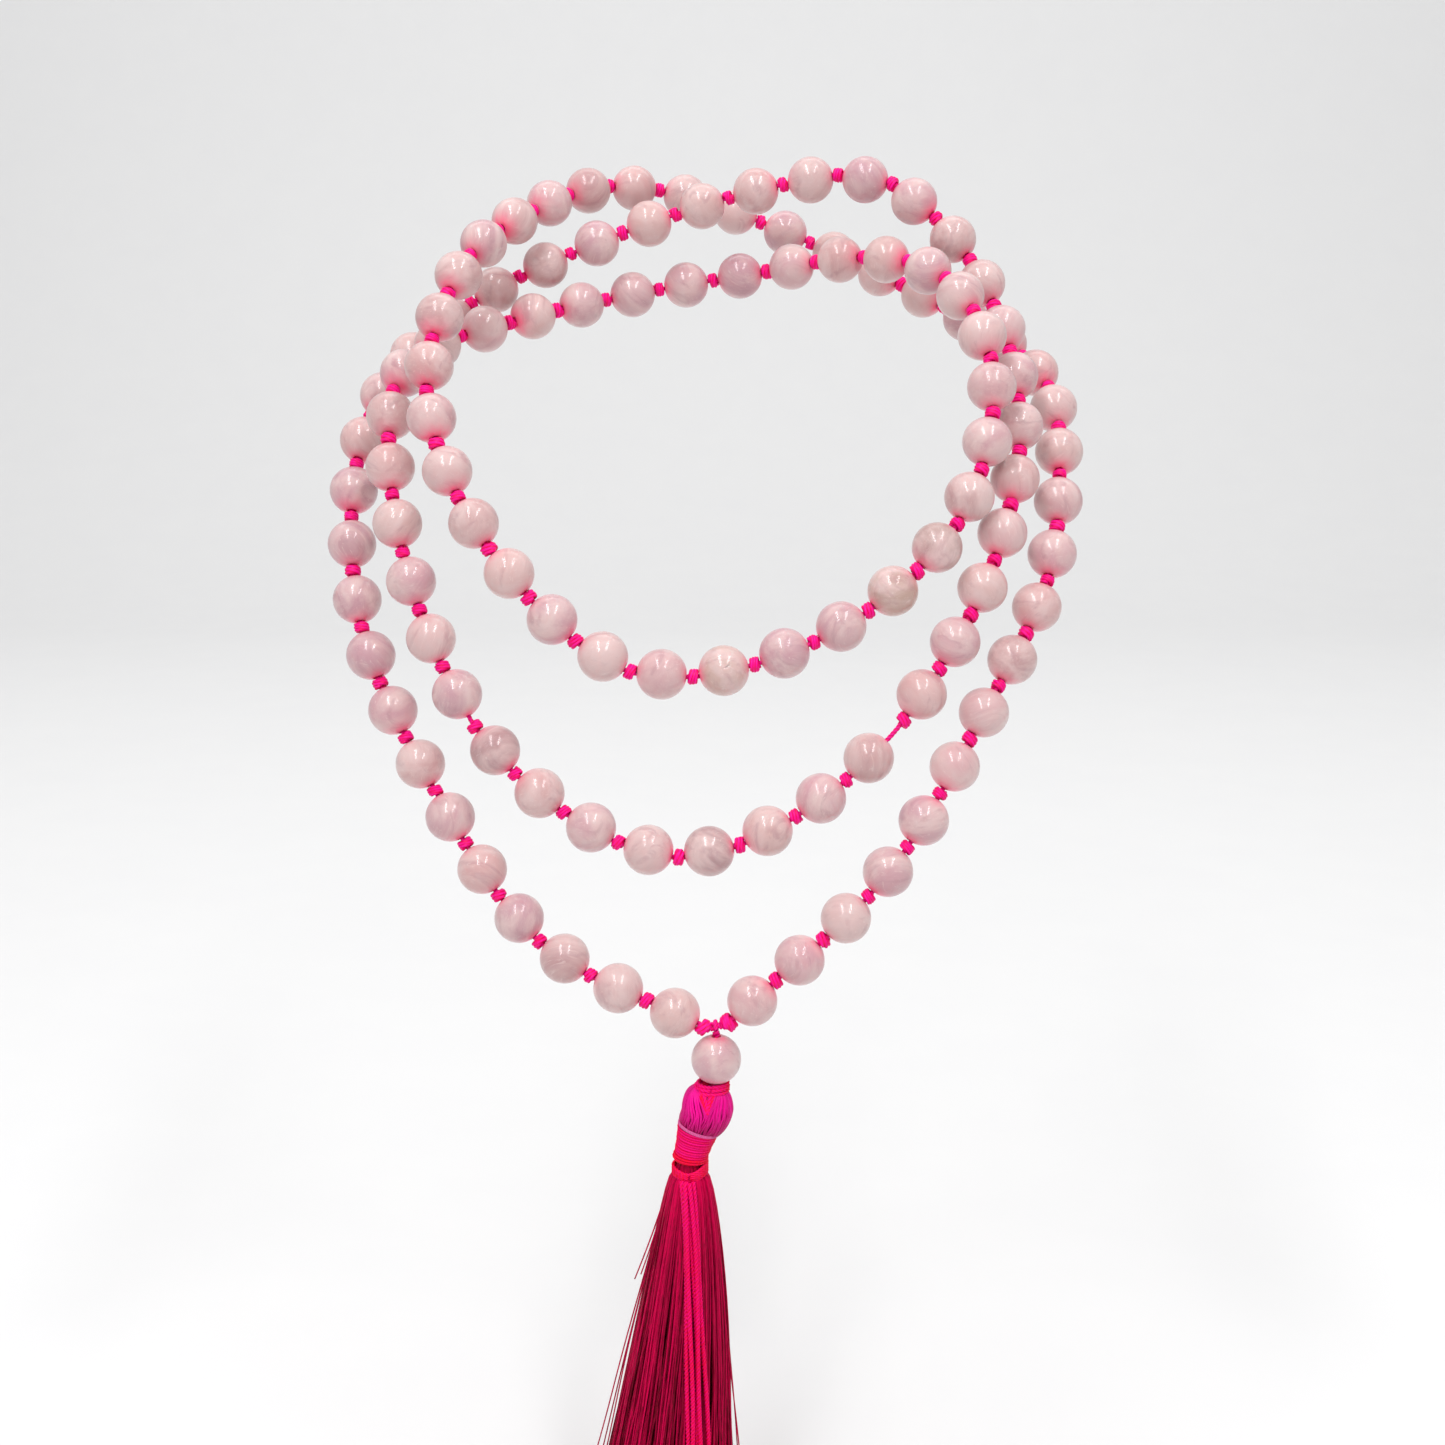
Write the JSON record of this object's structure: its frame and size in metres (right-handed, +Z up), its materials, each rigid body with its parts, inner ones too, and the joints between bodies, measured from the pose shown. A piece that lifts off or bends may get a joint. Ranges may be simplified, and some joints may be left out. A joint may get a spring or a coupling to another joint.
{
  "type": "mala prayer beads",
  "caption": "Knotted rose-quartz mala prayer beads on hot-pink cord, laid in three wraps round a neck, with a guru bead and a silk tassel.",
  "frame": {"origin": "on the back of the neck, where the strand rests, at mid-width", "axes": "+Z up, -Y forward from the neck to the chest, +X to the right as seen from in front"},
  "size_m": [0.1257, 0.0918, 0.2241],
  "materials": {
    "rose_quartz": "polished",
    "cord": "matte",
    "head_thread": "satin",
    "wrap_thread": "satin",
    "skirt_thread": "satin"
  },
  "bodies": {
    "neck_strand": {"neck_run_upper": "rose_quartz", "neck_run_lower": "rose_quartz", "neck_run_crossing": "rose_quartz"},
    "inner_loop": {"inner_loop_cord": "cord"},
    "middle_loop": {"middle_loop_cord": "cord"},
    "outer_loop": {"outer_loop_cord": "cord"},
    "guru_hanger": {"guru_cord": "cord"},
    "guru_bead": {"guru_bead": "rose_quartz"},
    "tassel": {"tassel_head": "head_thread", "tassel_wrap": "wrap_thread"},
    "skirt": {"tassel_skirt": "skirt_thread", "cord_tails": "cord"},
    "inner_bead_01": {"inner_bead_01": "rose_quartz"},
    "inner_bead_02": {"inner_bead_02": "rose_quartz"},
    "inner_bead_03": {"inner_bead_03": "rose_quartz"},
    "inner_bead_04": {"inner_bead_04": "rose_quartz"},
    "inner_bead_05": {"inner_bead_05": "rose_quartz"},
    "inner_bead_06": {"inner_bead_06": "rose_quartz"},
    "inner_bead_07": {"inner_bead_07": "rose_quartz"},
    "inner_bead_08": {"inner_bead_08": "rose_quartz"},
    "inner_bead_09": {"inner_bead_09": "rose_quartz"},
    "inner_bead_10": {"inner_bead_10": "rose_quartz"},
    "inner_bead_11": {"inner_bead_11": "rose_quartz"},
    "inner_bead_12": {"inner_bead_12": "rose_quartz"},
    "inner_bead_13": {"inner_bead_13": "rose_quartz"},
    "inner_bead_14": {"inner_bead_14": "rose_quartz"},
    "middle_bead_01": {"middle_bead_01": "rose_quartz"},
    "middle_bead_02": {"middle_bead_02": "rose_quartz"},
    "middle_bead_03": {"middle_bead_03": "rose_quartz"},
    "middle_bead_04": {"middle_bead_04": "rose_quartz"},
    "middle_bead_05": {"middle_bead_05": "rose_quartz"},
    "middle_bead_06": {"middle_bead_06": "rose_quartz"},
    "middle_bead_07": {"middle_bead_07": "rose_quartz"},
    "middle_bead_08": {"middle_bead_08": "rose_quartz"},
    "middle_bead_09": {"middle_bead_09": "rose_quartz"},
    "middle_bead_10": {"middle_bead_10": "rose_quartz"},
    "middle_bead_11": {"middle_bead_11": "rose_quartz"},
    "middle_bead_12": {"middle_bead_12": "rose_quartz"},
    "middle_bead_13": {"middle_bead_13": "rose_quartz"},
    "middle_bead_14": {"middle_bead_14": "rose_quartz"},
    "outer_bead_01": {"outer_bead_01": "rose_quartz"},
    "outer_bead_02": {"outer_bead_02": "rose_quartz"},
    "outer_bead_03": {"outer_bead_03": "rose_quartz"},
    "outer_bead_04": {"outer_bead_04": "rose_quartz"},
    "outer_bead_05": {"outer_bead_05": "rose_quartz"},
    "outer_bead_06": {"outer_bead_06": "rose_quartz"},
    "outer_bead_07": {"outer_bead_07": "rose_quartz"},
    "outer_bead_08": {"outer_bead_08": "rose_quartz"},
    "outer_bead_09": {"outer_bead_09": "rose_quartz"},
    "outer_bead_10": {"outer_bead_10": "rose_quartz"},
    "outer_bead_11": {"outer_bead_11": "rose_quartz"},
    "outer_bead_12": {"outer_bead_12": "rose_quartz"},
    "outer_bead_13": {"outer_bead_13": "rose_quartz"},
    "outer_bead_14": {"outer_bead_14": "rose_quartz"},
    "outer_bead_15": {"outer_bead_15": "rose_quartz"},
    "outer_bead_16": {"outer_bead_16": "rose_quartz"},
    "outer_bead_17": {"outer_bead_17": "rose_quartz"},
    "outer_bead_18": {"outer_bead_18": "rose_quartz"},
    "outer_bead_19": {"outer_bead_19": "rose_quartz"},
    "outer_bead_20": {"outer_bead_20": "rose_quartz"}
  },
  "joints": [
    {"name": "inner_loop_lift", "type": "hinge", "parent": "neck_strand", "child": "inner_loop", "pos_m": [0.04567, -0.04008, -0.02817], "axis": [-0.999, 0.0249, 0.0377], "range_deg": [0, 55]},
    {"name": "middle_loop_lift", "type": "hinge", "parent": "neck_strand", "child": "middle_loop", "pos_m": [0.04172, -0.04985, -0.05911], "axis": [-0.9993, 0.0368, 0.0034], "range_deg": [0, 55]},
    {"name": "outer_loop_lift", "type": "hinge", "parent": "neck_strand", "child": "outer_loop", "pos_m": [0.05723, -0.03623, -0.0467], "axis": [-0.9979, 0.0053, -0.0639], "range_deg": [0, 55]},
    {"name": "guru_swing", "type": "hinge", "parent": "outer_loop", "child": "guru_hanger", "pos_m": [0.0015, -0.063, -0.12235], "axis": [-0.985, 0, -0.1724], "range_deg": [-20, 70]},
    {"name": "tassel_swing", "type": "hinge", "parent": "guru_hanger", "child": "tassel", "pos_m": [0.0015, -0.063, -0.1332], "axis": [0, 1, 0], "range_deg": [-45, 45]},
    {"name": "skirt_swing", "type": "hinge", "parent": "tassel", "child": "skirt", "pos_m": [-0.0029, -0.063, -0.1451], "axis": [-1, 0, 0], "range_deg": [-30, 30]},
    {"name": "guru_bead_spin", "type": "hinge", "parent": "guru_hanger", "child": "guru_bead", "pos_m": [0.0015, -0.063, -0.12835], "axis": [0, 0, -1], "continuous": true},
    {"name": "inner_bead_01_spin", "type": "hinge", "parent": "inner_loop", "child": "inner_bead_01", "pos_m": [0.0446, -0.04232, -0.03245], "axis": [-0.2163, -0.4527, -0.865], "continuous": true},
    {"name": "inner_bead_02_spin", "type": "hinge", "parent": "inner_loop", "child": "inner_bead_02", "pos_m": [0.04148, -0.0464, -0.04081], "axis": [-0.4157, -0.3746, -0.8288], "continuous": true},
    {"name": "inner_bead_03_spin", "type": "hinge", "parent": "inner_loop", "child": "inner_bead_03", "pos_m": [0.03624, -0.0495, -0.04846], "axis": [-0.6461, -0.2523, -0.7203], "continuous": true},
    {"name": "inner_bead_04_spin", "type": "hinge", "parent": "inner_loop", "child": "inner_bead_04", "pos_m": [0.02922, -0.05153, -0.05504], "axis": [-0.7751, -0.1584, -0.6116], "continuous": true},
    {"name": "inner_bead_05_spin", "type": "hinge", "parent": "inner_loop", "child": "inner_bead_05", "pos_m": [0.0211, -0.05289, -0.06046], "axis": [-0.8664, -0.1167, -0.4856], "continuous": true},
    {"name": "inner_bead_06_spin", "type": "hinge", "parent": "inner_loop", "child": "inner_bead_06", "pos_m": [0.01219, -0.05387, -0.06455], "axis": [-0.9363, -0.0822, -0.3414], "continuous": true},
    {"name": "inner_bead_07_spin", "type": "hinge", "parent": "inner_loop", "child": "inner_bead_07", "pos_m": [0.00272, -0.05445, -0.06719], "axis": [-0.9806, -0.0362, -0.1928], "continuous": true},
    {"name": "inner_bead_08_spin", "type": "hinge", "parent": "inner_loop", "child": "inner_bead_08", "pos_m": [-0.00703, -0.05456, -0.06776], "axis": [-0.9968, 0.0156, 0.078], "continuous": true},
    {"name": "inner_bead_09_spin", "type": "hinge", "parent": "inner_loop", "child": "inner_bead_09", "pos_m": [-0.01624, -0.05423, -0.06499], "axis": [-0.8738, 0.0509, 0.4836], "continuous": true},
    {"name": "inner_bead_10_spin", "type": "hinge", "parent": "inner_loop", "child": "inner_bead_10", "pos_m": [-0.02414, -0.0535, -0.05926], "axis": [-0.728, 0.0967, 0.6787], "continuous": true},
    {"name": "inner_bead_11_spin", "type": "hinge", "parent": "inner_loop", "child": "inner_bead_11", "pos_m": [-0.03086, -0.05201, -0.05221], "axis": [-0.6326, 0.2039, 0.7472], "continuous": true},
    {"name": "inner_bead_12_spin", "type": "hinge", "parent": "inner_loop", "child": "inner_bead_12", "pos_m": [-0.03655, -0.04926, -0.04467], "axis": [-0.5193, 0.3541, 0.7778], "continuous": true},
    {"name": "inner_bead_13_spin", "type": "hinge", "parent": "inner_loop", "child": "inner_bead_13", "pos_m": [-0.041, -0.04528, -0.03683], "axis": [-0.381, 0.4493, 0.8081], "continuous": true},
    {"name": "inner_bead_14_spin", "type": "hinge", "parent": "inner_loop", "child": "inner_bead_14", "pos_m": [-0.04396, -0.04044, -0.02879], "axis": [-0.2175, 0.5305, 0.8193], "continuous": true},
    {"name": "middle_bead_01_spin", "type": "hinge", "parent": "neck_strand", "child": "middle_bead_01", "pos_m": [0.04724, -0.04371, -0.04683], "axis": [-0.3004, -0.4688, -0.8306], "continuous": true},
    {"name": "middle_bead_02_spin", "type": "hinge", "parent": "neck_strand", "child": "middle_bead_02", "pos_m": [0.04374, -0.04794, -0.05502], "axis": [-0.408, -0.3864, -0.8272], "continuous": true},
    {"name": "middle_bead_03_spin", "type": "hinge", "parent": "middle_loop", "child": "middle_bead_03", "pos_m": [0.03923, -0.05114, -0.06319], "axis": [-0.5036, -0.2622, -0.8232], "continuous": true},
    {"name": "middle_bead_04_spin", "type": "hinge", "parent": "middle_loop", "child": "middle_bead_04", "pos_m": [0.03391, -0.05332, -0.07122], "axis": [-0.5726, -0.1776, -0.8004], "continuous": true},
    {"name": "middle_bead_05_spin", "type": "hinge", "parent": "middle_loop", "child": "middle_bead_05", "pos_m": [0.02556, -0.05533, -0.08104], "axis": [-0.709, -0.1339, -0.6923], "continuous": true},
    {"name": "middle_bead_06_spin", "type": "hinge", "parent": "middle_loop", "child": "middle_bead_06", "pos_m": [0.01803, -0.05656, -0.08728], "axis": [-0.8129, -0.1158, -0.5707], "continuous": true},
    {"name": "middle_bead_07_spin", "type": "hinge", "parent": "middle_loop", "child": "middle_bead_07", "pos_m": [0.00961, -0.05752, -0.09233], "axis": [-0.89, -0.0776, -0.4493], "continuous": true},
    {"name": "middle_bead_08_spin", "type": "hinge", "parent": "middle_loop", "child": "middle_bead_08", "pos_m": [0.0004, -0.05795, -0.09552], "axis": [-0.98, -0.0101, -0.1988], "continuous": true},
    {"name": "middle_bead_09_spin", "type": "hinge", "parent": "middle_loop", "child": "middle_bead_09", "pos_m": [-0.0092, -0.05754, -0.09543], "axis": [-0.9714, 0.0932, 0.2182], "continuous": true},
    {"name": "middle_bead_10_spin", "type": "hinge", "parent": "middle_loop", "child": "middle_bead_10", "pos_m": [-0.01832, -0.05634, -0.09209], "axis": [-0.8762, 0.1503, 0.4578], "continuous": true},
    {"name": "middle_bead_11_spin", "type": "hinge", "parent": "middle_loop", "child": "middle_bead_11", "pos_m": [-0.02653, -0.0547, -0.0869], "axis": [-0.7855, 0.1824, 0.5913], "continuous": true},
    {"name": "middle_bead_12_spin", "type": "hinge", "parent": "middle_loop", "child": "middle_bead_12", "pos_m": [-0.03362, -0.05281, -0.08036], "axis": [-0.6504, 0.2009, 0.7326], "continuous": true},
    {"name": "middle_bead_13_spin", "type": "hinge", "parent": "middle_loop", "child": "middle_bead_13", "pos_m": [-0.03974, -0.05051, -0.07173], "axis": [-0.4755, 0.2221, 0.8512], "continuous": true},
    {"name": "middle_bead_14_spin", "type": "hinge", "parent": "middle_loop", "child": "middle_bead_14", "pos_m": [-0.04398, -0.04802, -0.06317], "axis": [-0.3826, 0.2822, 0.8798], "continuous": true},
    {"name": "outer_bead_01_spin", "type": "hinge", "parent": "outer_loop", "child": "outer_bead_01", "pos_m": [-0.00504, -0.06199, -0.121], "axis": [-0.9168, 0.2037, 0.3434], "continuous": true},
    {"name": "outer_bead_02_spin", "type": "hinge", "parent": "outer_loop", "child": "outer_bead_02", "pos_m": [-0.0141, -0.05997, -0.11758], "axis": [-0.9149, 0.2044, 0.3481], "continuous": true},
    {"name": "outer_bead_03_spin", "type": "hinge", "parent": "outer_loop", "child": "outer_bead_03", "pos_m": [-0.02272, -0.05785, -0.11334], "axis": [-0.8306, 0.2246, 0.5096], "continuous": true},
    {"name": "outer_bead_04_spin", "type": "hinge", "parent": "outer_loop", "child": "outer_bead_04", "pos_m": [-0.0301, -0.05561, -0.10732], "axis": [-0.6643, 0.2302, 0.7112], "continuous": true},
    {"name": "outer_bead_05_spin", "type": "hinge", "parent": "outer_loop", "child": "outer_bead_05", "pos_m": [-0.03611, -0.05331, -0.09984], "axis": [-0.5517, 0.2343, 0.8005], "continuous": true},
    {"name": "outer_bead_06_spin", "type": "hinge", "parent": "outer_loop", "child": "outer_bead_06", "pos_m": [-0.04135, -0.05087, -0.09181], "axis": [-0.506, 0.2597, 0.8225], "continuous": true},
    {"name": "outer_bead_07_spin", "type": "hinge", "parent": "outer_loop", "child": "outer_bead_07", "pos_m": [-0.04629, -0.04819, -0.08367], "axis": [-0.4937, 0.2814, 0.8228], "continuous": true},
    {"name": "outer_bead_08_spin", "type": "hinge", "parent": "outer_loop", "child": "outer_bead_08", "pos_m": [-0.05092, -0.04529, -0.07542], "axis": [-0.4416, 0.3053, 0.8437], "continuous": true},
    {"name": "outer_bead_09_spin", "type": "hinge", "parent": "outer_loop", "child": "outer_bead_09", "pos_m": [-0.05477, -0.04194, -0.06697], "axis": [-0.337, 0.3723, 0.8648], "continuous": true},
    {"name": "outer_bead_10_spin", "type": "hinge", "parent": "outer_loop", "child": "outer_bead_10", "pos_m": [-0.05741, -0.03786, -0.0584], "axis": [-0.1957, 0.4524, 0.8701], "continuous": true},
    {"name": "outer_bead_11_spin", "type": "hinge", "parent": "outer_loop", "child": "outer_bead_11", "pos_m": [0.05614, -0.03882, -0.05077], "axis": [-0.219, -0.5231, -0.8237], "continuous": true},
    {"name": "outer_bead_12_spin", "type": "hinge", "parent": "outer_loop", "child": "outer_bead_12", "pos_m": [0.05314, -0.04366, -0.05879], "axis": [-0.3883, -0.4574, -0.8], "continuous": true},
    {"name": "outer_bead_13_spin", "type": "hinge", "parent": "outer_loop", "child": "outer_bead_13", "pos_m": [0.04884, -0.04785, -0.06663], "axis": [-0.4816, -0.3886, -0.7855], "continuous": true},
    {"name": "outer_bead_14_spin", "type": "hinge", "parent": "outer_loop", "child": "outer_bead_14", "pos_m": [0.04405, -0.05143, -0.07452], "axis": [-0.4861, -0.3345, -0.8073], "continuous": true},
    {"name": "outer_bead_15_spin", "type": "hinge", "parent": "outer_loop", "child": "outer_bead_15", "pos_m": [0.03926, -0.05449, -0.08261], "axis": [-0.4818, -0.2852, -0.8286], "continuous": true},
    {"name": "outer_bead_16_spin", "type": "hinge", "parent": "outer_loop", "child": "outer_bead_16", "pos_m": [0.03426, -0.05709, -0.09074], "axis": [-0.5279, -0.2397, -0.8148], "continuous": true},
    {"name": "outer_bead_17_spin", "type": "hinge", "parent": "outer_loop", "child": "outer_bead_17", "pos_m": [0.02858, -0.0592, -0.09853], "axis": [-0.6217, -0.1879, -0.7604], "continuous": true},
    {"name": "outer_bead_18_spin", "type": "hinge", "parent": "outer_loop", "child": "outer_bead_18", "pos_m": [0.02196, -0.06072, -0.10569], "axis": [-0.7171, -0.1181, -0.6869], "continuous": true},
    {"name": "outer_bead_19_spin", "type": "hinge", "parent": "outer_loop", "child": "outer_bead_19", "pos_m": [0.01467, -0.06171, -0.1123], "axis": [-0.756, -0.083, -0.6492], "continuous": true},
    {"name": "outer_bead_20_spin", "type": "hinge", "parent": "outer_loop", "child": "outer_bead_20", "pos_m": [0.00721, -0.06256, -0.11876], "axis": [-0.7502, -0.0885, -0.6553], "continuous": true}
  ]
}
